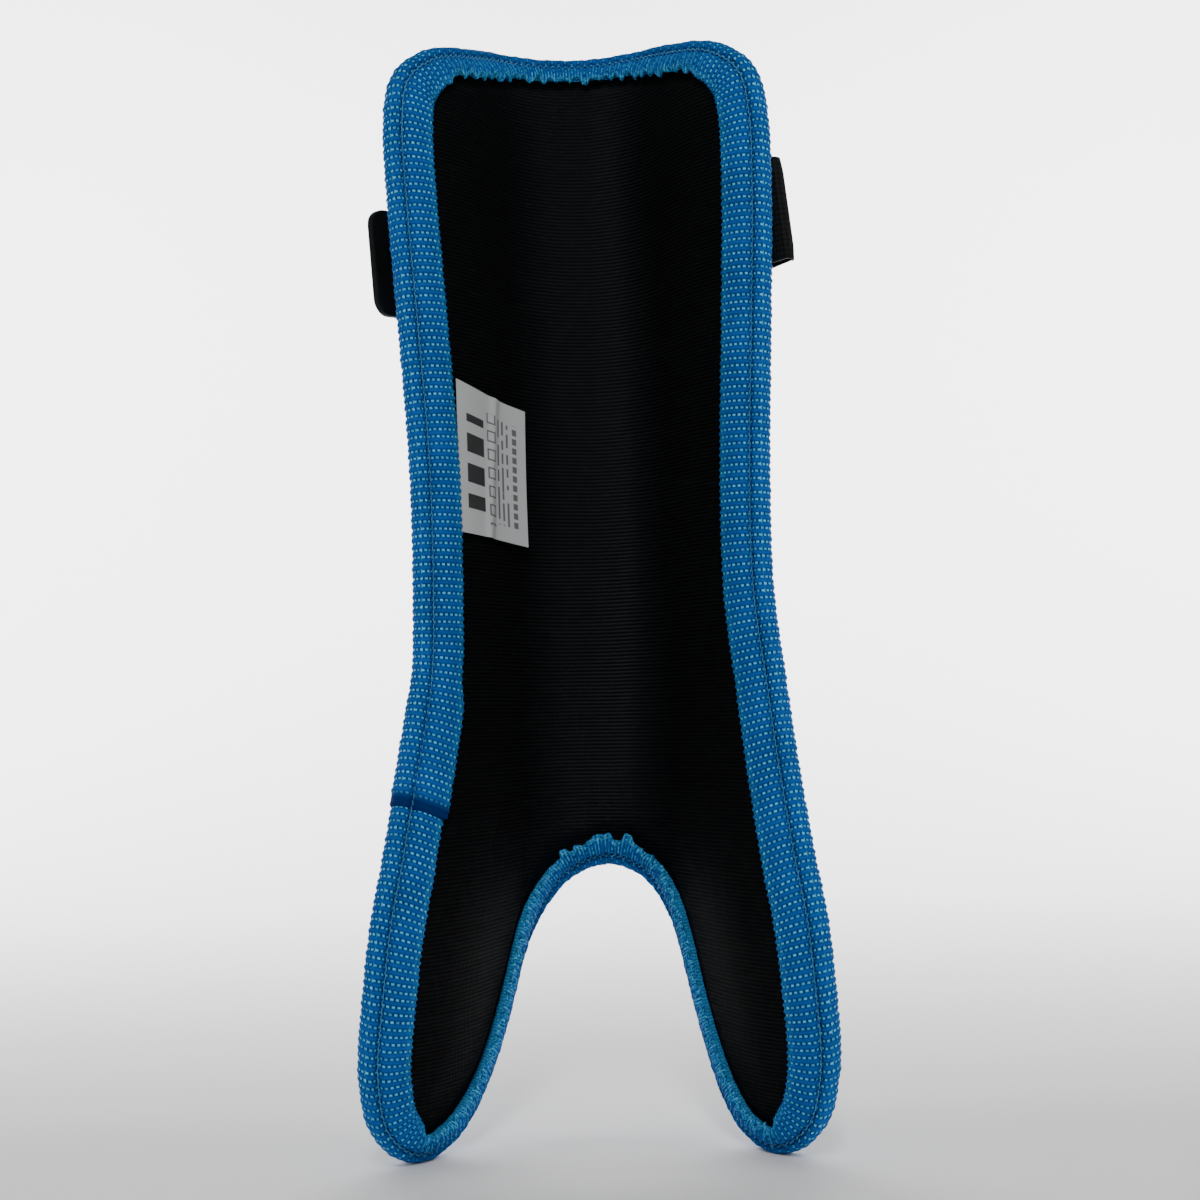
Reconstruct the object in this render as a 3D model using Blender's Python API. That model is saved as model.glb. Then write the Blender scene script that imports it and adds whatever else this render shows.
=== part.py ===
"""Junior hockey shin guard: a padded trough with an arch cut out at the ankle,
bound all round with webbing tape, with a hard front shell and one elastic strap.

Frame: upright as worn, +Z up the shin, +Y forward out of the convex front.
The origin is on the lining, in the middle of the trough at half height.
"""
import bpy
import bmesh
import numpy as np
from math import acos, atan2, ceil, cos, hypot, pi, radians, sin, tan
from mathutils import Vector
from mathutils.geometry import delaunay_2d_cdt

MM = 0.001

# ---- driving dimensions, in millimetres and degrees ----
HALF_HEIGHT = 125.0        # nominal half height, which the curves are written on
ARM_ANGLE = 58.0           # slope of the side walls over the shin
ANKLE_ARM_ANGLE = 67.0     # slope of the side walls at the ankle
TROUGH_R = 22.0            # inside radius of the trough over the shin
ANKLE_TROUGH_R = 20.0
TROUGH_EDGE = 33.0         # outlines are sampled closer inside this distance from the middle
ARCH_SHIFT = 2.2           # the arch sits this far to the right of the trough's middle
ARCH_REACH = 64.0          # and the shift fades out at this distance from the middle
ARCH_TOP = 20.0            # and closer again round the top of the arch
ARM_END = 32.0             # where the straight side walls begin to flare, along the section
ANKLE_ARM_END = 44.0
FLARE_R = 65.0             # radius of the flare at the edges
BLEND_TOP = -15.0          # the shin section turns into the ankle section below this height
BLEND_DEPTH = 80.0
BOTTOM_KICK = 20.0         # how far the ankle end stands forward
TOP_KICK = 3.0
SIDE_BOW = 1.8             # the slight sideways bow of the sewn guard

LINING = (0.0, 0.8)        # layers, from the inner face outwards
FOAM = (1.1, 5.3)
COVER = (5.6, 6.4)
SHELL = (6.8, 8.7)
RIDGE_H = 10.4             # top of the shell's middle ridge
PLATE = (7.0, 8.6)
GAP = 0.3
LAYER_INSET = 1.2          # the fabric layers stop this far inside the tape's middle line

ROLL_H = 3.2               # the tape's roll is centred on the wall's thickness
ROLL_R = 4.3
TAPE_T = 0.7
STRIP_W = 7.2              # the tape's flat strips, from its middle line inwards, on the long sides
STRIP_MIN = 2.9            # and along the top and round the arch
SEAM = 0.36                # the seam's place across the strip, from the middle line
THREAD_R = 0.35
LAP_RUN = (-17.0, -46.0)   # heights of the tape's doubled end on the left side

FOLD_Z = 88.5              # the strap folds back over the right edge at this height
STRAP_SLOPE = 4.5          # and runs down to the left at this slope
FOLD_S = 57.2              # distance of the fold from the middle, along the section
HINGE = (59.2, 11.3)       # distance and height of the axis that the band swings on, clear of the tape
STRAP_W = 25.0
STRAP_T = 1.2
STRAP_CLEAR = 0.5
JOINT_GAP = 0.45
ANCHOR = (9.1, 10.2)       # heights of the strap's sewn end
STITCH_H = 10.5            # height of the patches' seams
THREAD_W, THREAD_H = 0.6, 0.35
CREST_LINKS = 4            # short links that carry the strap over the ridge
TAB_T = 1.6
TAB_CORNER = 4.0

LABEL_Z = (14.5, 50.0)
LABEL_T = 0.35
LABEL_L = 22.2             # free length, from the tape's edge
LABEL_LIFT = 2.2           # the free end stands off the lining by this much
LABEL_DROOP = 1.6          # and hangs this much lower than the sewn end

# half of the pattern's outline, from the middle of the top edge round to the top of the arch,
# as (distance from the middle along the section, height)
OUTLINE = [
    (0.0, 133.8), (16.0, 133.0), (32.0, 129.3), (44.4, 125.4), (52.2, 118.8), (54.2, 109.0),
    (53.9, 92.0), (51.8, 61.0), (49.6, 29.0), (49.3, 0.0), (51.2, -20.0), (56.0, -38.0),
    (63.5, -57.5), (71.5, -76.0), (75.8, -93.0), (76.8, -107.0), (74.4, -117.6), (67.6, -122.8),
    (58.2, -120.8), (48.6, -113.8), (39.8, -104.4), (32.6, -94.2), (25.6, -82.8), (18.4, -72.8),
    (10.0, -64.4), (0.0, -61.0),
]


def smooth(t):
    t = min(1.0, max(0.0, t))
    return t * t * (3.0 - 2.0 * t)


# ---- the guard's curved surface ----
def centre_line(z):
    """Forward lean of the trough's middle line at height z."""
    return BOTTOM_KICK * (max(0.0, -z) / HALF_HEIGHT) ** 2 + TOP_KICK * (max(0.0, z) / HALF_HEIGHT) ** 2


def section(s, z):
    """Sideways distance, depth and slope of the section at distance s along it."""
    ankle = smooth((BLEND_TOP - z) / BLEND_DEPTH)
    slope = radians(ARM_ANGLE + (ANKLE_ARM_ANGLE - ARM_ANGLE) * ankle)
    trough_r = TROUGH_R + (ANKLE_TROUGH_R - TROUGH_R) * ankle
    arm_end = ARM_END + (ANKLE_ARM_END - ARM_END) * ankle
    stretches = (
        (trough_r * slope, 1.0 / trough_r),
        (arm_end - trough_r * slope, 0.0),
        (1.0e9, -1.0 / FLARE_R),
    )
    left, x, depth, angle = abs(s), 0.0, 0.0, 0.0
    for length, bend in stretches:
        run = min(left, length)
        if bend:
            x += (sin(angle + bend * run) - sin(angle)) / bend
            depth += (cos(angle) - cos(angle + bend * run)) / bend
        else:
            x += run * cos(angle)
            depth += run * sin(angle)
        angle += bend * run
        left -= run
        if left <= 0.0:
            break
    side = 1.0 if s >= 0.0 else -1.0
    return side * x, depth, side * angle


def inner(s, z):
    x, depth, _ = section(s, z)
    return np.array([x - SIDE_BOW * (z / HALF_HEIGHT) ** 2, centre_line(z) - depth, z])


def normal(s, z):
    """Unit normal, pointing out of the guard's front."""
    step = 0.05
    along = inner(s + step, z) - inner(s - step, z)
    up = inner(s, z + step) - inner(s, z - step)
    n = np.cross(up, along)
    return n / np.linalg.norm(n)


def wall(s, z, h):
    """Point at height h above the lining's inner face, in millimetres."""
    return inner(s, z) + normal(s, z) * h


# ---- outline helpers ----
def spline(points, spacing, trough_spacing):
    """Closed centripetal Catmull-Rom curve through points, sampled closer across the trough."""
    pts = np.array(points, float)
    count = len(pts)
    samples = []
    for i in range(count):
        p0, p1, p2, p3 = (pts[(i + k) % count] for k in (-1, 0, 1, 2))
        t1 = np.linalg.norm(p1 - p0) ** 0.5
        t2 = t1 + np.linalg.norm(p2 - p1) ** 0.5
        t3 = t2 + np.linalg.norm(p3 - p2) ** 0.5
        fine = max(abs(p1[0]), abs(p2[0])) < TROUGH_EDGE
        at_arch = fine and max(abs(p1[0]), abs(p2[0])) < ARCH_TOP and p1[1] < 0.0
        step = trough_spacing * (0.6 if at_arch else 1.0) if fine else spacing
        steps = max(1, round(np.linalg.norm(p2 - p1) / step))
        for k in range(steps):
            t = t1 + (t2 - t1) * k / steps
            a1 = p0 * (t1 - t) / t1 + p1 * t / t1
            a2 = p1 * (t2 - t) / (t2 - t1) + p2 * (t - t1) / (t2 - t1)
            a3 = p2 * (t3 - t) / (t3 - t2) + p3 * (t - t2) / (t3 - t2)
            b1 = a1 * (t2 - t) / t2 + a2 * t / t2
            b2 = a2 * (t3 - t) / (t3 - t1) + a3 * (t - t1) / (t3 - t1)
            samples.append(b1 * (t2 - t) / (t2 - t1) + b2 * (t - t1) / (t2 - t1))
    return np.array(samples)


def mirrored(half):
    """Whole outline from its right half, with the arch set a little to the right."""
    whole = half + [(-s, z) for s, z in reversed(half[1:-1])]
    return [(s + (ARCH_SHIFT * smooth((ARCH_REACH - abs(s)) / 30.0) if z < 0.0 else 0.0), z) for s, z in whole]


def inward(loop):
    """Unit vectors into the loop, which runs clockwise in (s, z)."""
    along = np.roll(loop, -1, 0) - np.roll(loop, 1, 0)
    along /= np.linalg.norm(along, axis=1)[:, None]
    return np.stack([along[:, 1], -along[:, 0]], 1)


def offset(loop, inwards):
    """Loop moved inwards by one distance, or by one for each point."""
    return loop + inward(loop) * np.reshape(inwards, (-1, 1))


def strip_width(loop):
    """Width of the tape's strips: wide on the long sides, narrow elsewhere."""
    outwards = -inward(loop)[:, 0] * np.sign(loop[:, 0])
    return np.array([STRIP_MIN + (STRIP_W - STRIP_MIN) * smooth((k - 0.05) / 0.75) for k in outwards])


def inside(loop, s, z):
    hit = False
    for (s0, z0), (s1, z1) in zip(loop, np.roll(loop, -1, 0)):
        if (z0 > z) != (z1 > z) and s < s0 + (z - z0) * (s1 - s0) / (z1 - z0):
            hit = not hit
    return hit


def clearance(loop, s, z):
    return float(np.min(np.hypot(loop[:, 0] - s, loop[:, 1] - z)))


# ---- mesh helpers ----
def material(name, rgb, roughness, metallic=0.0):
    mat = bpy.data.materials.new(name)
    mat.use_nodes = True
    shader = mat.node_tree.nodes["Principled BSDF"]
    shader.inputs["Base Color"].default_value = (*rgb, 1.0)
    shader.inputs["Roughness"].default_value = roughness
    shader.inputs["Metallic"].default_value = metallic
    return mat


def add_object(name, points_mm, faces, rgb, roughness, origin_mm=(0, 0, 0)):
    """Object whose mesh is given in world millimetres, with its origin at origin_mm."""
    mesh = bpy.data.meshes.new(name)
    shift = np.array(origin_mm, float)
    mesh.from_pydata([tuple((np.array(p) - shift) * MM) for p in points_mm], [], faces)
    bm = bmesh.new()
    bm.from_mesh(mesh)
    bmesh.ops.recalc_face_normals(bm, faces=bm.faces)
    bmesh.ops.triangulate(bm, faces=bm.faces)
    bm.to_mesh(mesh)
    bm.free()
    mesh.shade_smooth()
    mesh.set_sharp_from_angle(angle=radians(40))
    obj = bpy.data.objects.new(name, mesh)
    obj.location = Vector(shift * MM)
    obj.data.materials.append(material(name, rgb, roughness))
    bpy.context.collection.objects.link(obj)
    return obj


def panel(name, loop, h_in, h_out, rgb, roughness, holes=(), columns=None, row=11.0, shape=None,
          extra=()):
    """Closed layer between two heights over the lining, cut to loop, with through holes."""
    loops = [loop] + [np.array(hole) for hole in holes]
    points, edges = [], []
    for ring in loops:
        start = len(points)
        points += [tuple(p) for p in ring]
        edges += [(start + i, start + (i + 1) % len(ring)) for i in range(len(ring))]
    low, high = loop[:, 1].min(), loop[:, 1].max()
    rows = ceil((high - low) / row)
    for i in range(1, rows):
        z = low + (high - low) * i / rows
        for s in columns or GRID:
            near = min(clearance(ring, s, z) for ring in loops + [np.array(extra)] if len(ring))
            if inside(loop, s, z) and near > 2.5 and not any(inside(hole, s, z) for hole in loops[1:]):
                points.append((s, z))
    points += [tuple(p) for p in extra]
    verts, _, faces, _, _, _ = delaunay_2d_cdt([Vector(p) for p in points], edges, [], 0, 1e-5)
    flat = [(v.x, v.y) for v in verts]
    kept = []
    for face in faces:
        s, z = np.mean([flat[i] for i in face], axis=0)
        if inside(loop, s, z) and not any(inside(hole, s, z) for hole in loops[1:]):
            kept.append(list(face))
    used = sorted({i for face in kept for i in face})
    index = {old: new for new, old in enumerate(used)}
    kept = [[index[i] for i in face] for face in kept]
    flat = [flat[i] for i in used]
    count = len(flat)
    top = [h_out + (shape(s, z) if shape else 0.0) for s, z in flat]
    mesh_points = [wall(s, z, h_in) for s, z in flat] + [wall(s, z, h) for (s, z), h in zip(flat, top)]
    directed = {(a, b) for face in kept for a, b in zip(face, face[1:] + face[:1])}
    rim = [(a, b) for a, b in directed if (b, a) not in directed]
    mesh_faces = kept + [[i + count for i in reversed(face)] for face in kept]
    mesh_faces += [[b, a, a + count, b + count] for a, b in sorted(rim)]
    return add_object(name, mesh_points, mesh_faces, rgb, roughness)


def swept(name, loop, profile, rgb, roughness, sink=None):
    """Closed ring: a profile of (inwards, height) points carried round the loop, sunk where sink says."""
    rings = [offset(loop, u) for u, _ in profile]
    count, sides = len(loop), len(profile)
    sink = np.zeros(count) if sink is None else sink
    points = [wall(*rings[k][i], profile[k][1] - sink[i]) for i in range(count) for k in range(sides)]
    faces = [[i * sides + k, i * sides + (k + 1) % sides,
              (i + 1) % count * sides + (k + 1) % sides, (i + 1) % count * sides + k]
             for i in range(count) for k in range(sides)]
    return add_object(name, points, faces, rgb, roughness)


def swept_open(name, loop, picked, profile, rgb, roughness):
    """Capped length of a profile carried along the picked stretch of the loop."""
    rings = [offset(loop, u)[picked] for u, _ in profile]
    count, sides = len(rings[0]), len(profile)
    points = [wall(*rings[k][i], profile[k][1]) for i in range(count) for k in range(sides)]
    faces = [[i * sides + k, i * sides + (k + 1) % sides, (i + 1) * sides + (k + 1) % sides, (i + 1) * sides + k]
             for i in range(count - 1) for k in range(sides)]
    faces += [list(range(sides)), [(count - 1) * sides + k for k in reversed(range(sides))]]
    return add_object(name, points, faces, rgb, roughness)


def tape_profile(inside_r, thickness, strip):
    """C-shaped section of folded tape: a half-round fold and two flat strips of the given widths."""
    def bow(r):
        return [(-r * sin(a), ROLL_H - r * cos(a)) for a in np.linspace(0, pi, 5)]

    outside_r = inside_r + thickness
    flat = [strip, strip * (1 + SEAM) / 2, strip * SEAM]
    outer = [(u, ROLL_H - outside_r) for u in flat] + bow(outside_r) + [(u, ROLL_H + outside_r) for u in flat[::-1]]
    hollow = [(u, ROLL_H - inside_r) for u in flat] + bow(inside_r) + [(u, ROLL_H + inside_r) for u in flat[::-1]]
    return outer + hollow[::-1]


# ---- start from an empty scene ----
for old in list(bpy.data.objects):
    bpy.data.objects.remove(old, do_unlink=True)

GRID = [k * 4.8 for k in range(-5, 6)] + [side * s for side in (-1, 1) for s in (33.0, 42.0, 52.0, 62.0, 70.0)]
BLACK, BLUE = (0.012, 0.012, 0.014), (0.012, 0.13, 0.38)

edge = spline(mirrored(OUTLINE), 7.5, 4.6)
layer_edge = offset(edge, LAYER_INSET)

over_arch = (np.abs(edge[:, 0]) < TROUGH_EDGE) & (edge[:, 1] < 0.0)
under_strip = np.vstack([offset(edge, u)[over_arch] for u in (STRIP_W / 2, STRIP_W)])

# ---- the padded sandwich ----
panel("lining", layer_edge, *LINING, (0.006, 0.008, 0.010), 0.85, extra=under_strip)
panel("foam_core", layer_edge, *FOAM, (0.03, 0.03, 0.03), 0.8, extra=under_strip)
panel("outer_cover", layer_edge, *COVER, BLACK, 0.75, extra=under_strip)


# ---- hard front shell, with a middle ridge and vent slots ----
def ridge(s, z):
    return (RIDGE_H - SHELL[1]) * (1.0 - smooth((abs(s) - 15.0) / 6.0))


def slot(s, z, length=13.0, width=3.2):
    half = length / 2 - width / 2
    ends = [(s + width / 2 * cos(a), z + half + width / 2 * sin(a)) for a in (0, pi / 3, 2 * pi / 3, pi)]
    return ends + [(s - width / 2 * cos(a), z - half - width / 2 * sin(a)) for a in (0, pi / 3, 2 * pi / 3, pi)]


SHELL_HALF = [
    (0.0, 121.0), (18.0, 120.4), (33.0, 116.5), (40.6, 107.0), (42.0, 92.0), (40.0, 61.0),
    (37.8, 29.0), (37.6, 0.0), (39.0, -20.0), (41.5, -38.0), (42.5, -54.0), (38.0, -66.0),
    (29.0, -68.0), (20.0, -58.0), (10.0, -50.5), (0.0, -48.0),
]
shell_edge = spline(mirrored(SHELL_HALF), 9.0, 6.0)
vents = [slot(side * 28.5, z) for side in (-1, 1) for z in (48.0, 24.0, 0.0, -24.0, -48.0)]
panel("shin_shell", shell_edge, *SHELL, (0.02, 0.02, 0.022), 0.38, holes=vents, shape=ridge,
      columns=[0, 5, 10, 15, 18, 21, 24.5, 33.0, 38.0, -5, -10, -15, -18, -21, -24.5, -33.0, -38.0], row=12.0)

# ---- ankle plates on the two lobes ----
for side, name in ((-1, "ankle_plate_left"), (1, "ankle_plate_right")):
    mid_s, mid_z, half_s, half_z = side * 52.5, -84.0, 10.5, 15.0
    oval = np.array([(mid_s + half_s * sin(a), mid_z + half_z * cos(a)) for a in np.linspace(0, 2 * pi, 24, False)])

    def dome(s, z, mid_s=mid_s, mid_z=mid_z, half_s=half_s, half_z=half_z):
        return 1.6 * max(0.0, 1.0 - ((s - mid_s) / half_s) ** 2 - ((z - mid_z) / half_z) ** 2)

    panel(name, oval, *PLATE, (0.02, 0.02, 0.022), 0.4, shape=dome, row=6.0,
          columns=[mid_s + k * 4.5 for k in (-1, 0, 1)])

# ---- webbing tape round the whole edge, its doubled end and its seam thread ----
strip = strip_width(edge)
swept("binding_tape", edge, tape_profile(ROLL_R - TAPE_T, TAPE_T, strip), BLUE, 0.5)
lap = (edge[:, 0] < -45) & (edge[:, 1] >= LAP_RUN[1]) & (edge[:, 1] <= LAP_RUN[0])
swept_open("binding_lap", edge, lap, tape_profile(ROLL_R + GAP, TAPE_T, strip), BLUE, 0.5)
thread = [(strip * SEAM + THREAD_R * sin(a), ROLL_H - ROLL_R - GAP - THREAD_R + THREAD_R * cos(a))
          for a in np.linspace(0, 2 * pi, 4, False)]
over_lap = lap | np.roll(lap, 1) | np.roll(lap, -1)
swept("binding_thread", edge, thread, (0.05, 0.3, 0.6), 0.5, sink=over_lap * (TAPE_T + GAP))


# ---- strap: elastic folded back over the front from the right edge ----
# The band is a helix: every link stands upright, and each is a little lower than the one before.
drop = tan(radians(STRAP_SLOPE))
half_w = STRAP_W / 2 / cos(radians(STRAP_SLOPE))


def plan(s, z, h):
    return wall(s, z, h)[:2]


fold = plan(HINGE[0], FOLD_Z, HINGE[1])
start = plan(FOLD_S - 0.6, FOLD_Z, ANCHOR[1] + 2 * STRAP_CLEAR + STRAP_T / 2 + 0.4)
strap_top = FOLD_Z + STRAP_W / 2                     # the guard leans forward most up there
crest = np.array([-SIDE_BOW * (FOLD_Z / HALF_HEIGHT) ** 2, centre_line(strap_top) - TROUGH_R])
crest_r = TROUGH_R + RIDGE_H + STRAP_CLEAR + STRAP_T / 2

# straight run to the crest, short links round it, and a straight run down to the left edge
reach = start - crest
first = atan2(reach[1], reach[0]) + acos(crest_r / hypot(*reach))
turn = (pi - 2 * first) / (CREST_LINKS + 1)
corner_r = crest_r / cos(turn / 2)
angles = [first + turn * (k + 0.5) for k in range(CREST_LINKS + 1)]
stations = [start] + [crest + corner_r * np.array([cos(a), sin(a)]) for a in angles]
stations.append(np.array([2 * crest[0] - start[0] - 0.6, start[1] - 1.0]))
lengths = [np.linalg.norm(b - a) for a, b in zip(stations, stations[1:])]


def strap_solid(name, k, outline, low, high, rgb, roughness, origin):
    """Slab on link k: outline gives (along, upright) points, low and high its faces' heights."""
    run = (stations[k + 1] - stations[k]) / lengths[k]
    out = np.array([run[1], -run[0]])
    z_start = FOLD_Z - drop * sum(lengths[:k])
    points = [np.append(stations[k] + run * a + out * face, z_start - drop * a + w)
              for face in (low, high) for a, w in outline]
    count = len(outline)
    faces = [list(range(count)), [count + i for i in reversed(range(count))]]
    faces += [[i, i + count, (i + 1) % count + count, (i + 1) % count] for i in range(count)]
    return add_object(name, points, faces, rgb, roughness, origin)


for k in range(CREST_LINKS + 1):
    lead = 0.2 if k == 0 else JOINT_GAP
    reach_to = lengths[k] - JOINT_GAP
    outline = [(lead, half_w), (reach_to, half_w), (reach_to, -half_w), (lead, -half_w)]
    hinge = np.append(fold if k == 0 else stations[k], FOLD_Z - drop * sum(lengths[:k]))
    strap_solid(f"strap_link_{k + 1}", k, outline, -STRAP_T / 2, STRAP_T / 2, BLACK, 0.7, hinge)

# stiff tab with rounded end corners, and the hook tape on the face that closes on the guard
tab_k = CREST_LINKS + 1
tab_hinge = np.append(stations[tab_k], FOLD_Z - drop * sum(lengths[:tab_k]))
rounded = [(lengths[tab_k] - TAB_CORNER * (1 - sin(a)), half_w - TAB_CORNER * (1 - cos(a)))
           for a in np.linspace(0, pi / 2, 4)]
tab_outline = [(JOINT_GAP, half_w)] + rounded + [(a, -w) for a, w in reversed(rounded)] + [(JOINT_GAP, -half_w)]
strap_solid("strap_tab", tab_k, tab_outline, -STRAP_T / 2, TAB_T - STRAP_T / 2, BLACK, 0.5, tab_hinge)
hook_low, hook_t, hook_from, hook_edge = TAB_T - STRAP_T / 2 + GAP, 0.9, 11.0, 2.0
hook_to, hook_w = lengths[tab_k] - TAB_CORNER, half_w - hook_edge
hook_outline = [(hook_from, hook_w), (hook_to, hook_w), (hook_to, -hook_w), (hook_from, -hook_w)]
strap_solid("hook_patch", tab_k, hook_outline, hook_low, hook_low + hook_t, BLACK, 0.9, tab_hinge)


# ---- pieces sewn on the front under the strap ----
def curved_slab(name, s_steps, z_mid, half, low, high, rgb, roughness, origin=(0, 0, 0)):
    """Slab that follows the guard: z_mid, low and high are functions of s, or numbers."""
    def at(value, s):
        return value(s) if callable(value) else value

    points = [wall(s, at(z_mid, s) + w, at(h, s)) for s in s_steps for w in (-half, 0.0, half) for h in (low, high)]
    faces = []
    for i in range(len(s_steps) - 1):
        a, b = i * 6, (i + 1) * 6
        faces += [[a, a + 2, b + 2, b], [a + 2, a + 4, b + 4, b + 2], [a + 1, b + 1, b + 3, a + 3],
                  [a + 3, b + 3, b + 5, a + 5], [a, b, b + 1, a + 1], [a + 4, a + 5, b + 5, b + 4]]
    c = (len(s_steps) - 1) * 6
    faces += [[0, 1, 3, 2], [2, 3, 5, 4], [c, c + 2, c + 3, c + 1], [c + 2, c + 4, c + 5, c + 3]]
    return add_object(name, points, faces, rgb, roughness, origin)


def anchor_z(s):
    return FOLD_Z - (FOLD_S - s) * drop


curved_slab("strap_anchor", np.linspace(27.0, FOLD_S - 1.3, 8), anchor_z, half_w, *ANCHOR, BLACK, 0.7)

LOOP = (9.1, 10.0)
loop_z = FOLD_Z - drop * (sum(lengths) - 16.0)
curved_slab("loop_patch", np.linspace(-42.0, -23.0, 5), loop_z, half_w - 1.0, *LOOP, BLACK, 0.9)


def seam_ring(name, s_range, z_mid, half, low, rgb):
    """Line of thread sewn round a patch, as one closed ring."""
    s_steps = np.linspace(*s_range, 4)
    ring = [(s, z_mid(s) + half) for s in s_steps] + [(s, z_mid(s) - half) for s in s_steps[::-1]]
    thread = [(THREAD_W * x, low + THREAD_H * y) for x, y in ((-0.5, 0), (-0.5, 1), (0.5, 1), (0.5, 0))]
    return swept(name, np.array(ring), thread, rgb, 0.6)


seam_ring("anchor_thread", (30.0, 39.0), anchor_z, half_w - 2.5, STITCH_H, (0.03, 0.03, 0.03))
seam_ring("loop_thread", (-40.5, -24.5), lambda s: loop_z, half_w - 2.5, STITCH_H, (0.03, 0.03, 0.03))

# ---- care label under the tape on the left, its free end lifting off the lining ----
label_root = -41.2           # just clear of the strip


def label_lift(s):
    return -0.55 - LABEL_LIFT * ((s - label_root) / LABEL_L) ** 2


def label_under(s):
    return label_lift(s) - LABEL_T


def label_mid(s):
    return sum(LABEL_Z) / 2 - LABEL_DROOP * (s - label_root) / LABEL_L


curved_slab("care_label", np.linspace(label_root, label_root + LABEL_L, 6), label_mid,
            (LABEL_Z[1] - LABEL_Z[0]) / 2, label_under, label_lift, (0.5, 0.5, 0.5), 0.45,
            wall(label_root, sum(LABEL_Z) / 2, -0.55))

bpy.context.view_layer.update()
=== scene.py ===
import math

import bpy
import numpy as np
from mathutils import Matrix, Vector


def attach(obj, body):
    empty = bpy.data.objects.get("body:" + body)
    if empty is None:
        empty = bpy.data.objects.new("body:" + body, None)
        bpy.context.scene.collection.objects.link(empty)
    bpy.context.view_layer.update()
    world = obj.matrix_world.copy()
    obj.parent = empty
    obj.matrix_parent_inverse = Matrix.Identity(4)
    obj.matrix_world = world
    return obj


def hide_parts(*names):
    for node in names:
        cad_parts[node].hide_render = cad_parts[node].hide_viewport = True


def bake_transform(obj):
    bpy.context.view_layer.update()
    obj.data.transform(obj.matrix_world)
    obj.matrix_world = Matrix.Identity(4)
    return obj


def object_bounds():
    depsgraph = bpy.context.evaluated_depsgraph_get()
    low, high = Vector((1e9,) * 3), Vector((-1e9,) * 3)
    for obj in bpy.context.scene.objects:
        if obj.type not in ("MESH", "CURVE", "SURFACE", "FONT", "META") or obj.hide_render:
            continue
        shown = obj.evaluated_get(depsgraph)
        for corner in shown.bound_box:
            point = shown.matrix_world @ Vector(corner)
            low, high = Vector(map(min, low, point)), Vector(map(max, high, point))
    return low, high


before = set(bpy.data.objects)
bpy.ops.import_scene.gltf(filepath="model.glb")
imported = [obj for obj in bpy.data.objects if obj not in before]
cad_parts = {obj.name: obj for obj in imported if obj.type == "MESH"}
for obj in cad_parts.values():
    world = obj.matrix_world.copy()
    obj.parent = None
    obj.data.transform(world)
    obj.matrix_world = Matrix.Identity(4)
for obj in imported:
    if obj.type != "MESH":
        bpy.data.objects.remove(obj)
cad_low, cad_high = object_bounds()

MM = 0.001


# ---- Camera, light and floor ----
# The guard is seen from the leg's side, close and from a little below its middle, so that the
# wall's hollow face shows. A pale floor runs back and curves up into a backdrop, which has its
# own lights; soft panels near the camera light the guard.
class Value:
    """A shader socket that can be used in Python arithmetic."""

    def __init__(self, tree, socket):
        self.tree, self.socket = tree, socket

    def node(self, kind, settings=None, out=0, **inputs):
        """A new node's output. Inputs are given by name, or as i0, i1 and so on by number."""
        made = self.tree.nodes.new(kind)
        for key, value in (settings or {}).items():
            setattr(made, key, value)
        for key, value in inputs.items():
            by_number = key[0] == "i" and key[1:].isdigit()
            target = made.inputs[int(key[1:]) if by_number else key.replace("_", " ")]
            if isinstance(value, Value):
                self.tree.links.new(value.socket, target)
            else:
                target.default_value = value
        return Value(self.tree, made.outputs[out])

    def math(self, operation, *others):
        terms = {f"i{k}": term for k, term in enumerate((self, *others))}
        return self.node("ShaderNodeMath", {"operation": operation}, **terms)

    def __add__(self, other):
        return self.math("ADD", other)

    def __mul__(self, other):
        return self.math("MULTIPLY", other)

    __radd__, __rmul__ = __add__, __mul__

    def __sub__(self, other):
        return self.math("SUBTRACT", other)

    def __rsub__(self, other):
        return self * -1 + other

    def __truediv__(self, other):
        return self.math("DIVIDE", other)

    def clamped(self):
        return self.math("MAXIMUM", 0.0).math("MINIMUM", 1.0)

    def wave(self, period):
        """0 to 1 and back over each period."""
        return (self * (2 * math.pi / period)).math("COSINE") * 0.5 + 0.5

    def step_up(self, low, high):
        """0 below low, 1 above high, smooth between."""
        settings = {"interpolation_type": "SMOOTHSTEP"}
        return self.node("ShaderNodeMapRange", settings, i0=self, i1=low, i2=high, i3=0.0, i4=1.0)

    def mix(self, colour_a, colour_b):
        """Colour a where this is 0, colour b where it is 1."""
        settings = {"data_type": "RGBA"}
        return self.node("ShaderNodeMix", settings, out=2, i0=self, i6=colour_a, i7=colour_b)


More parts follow.
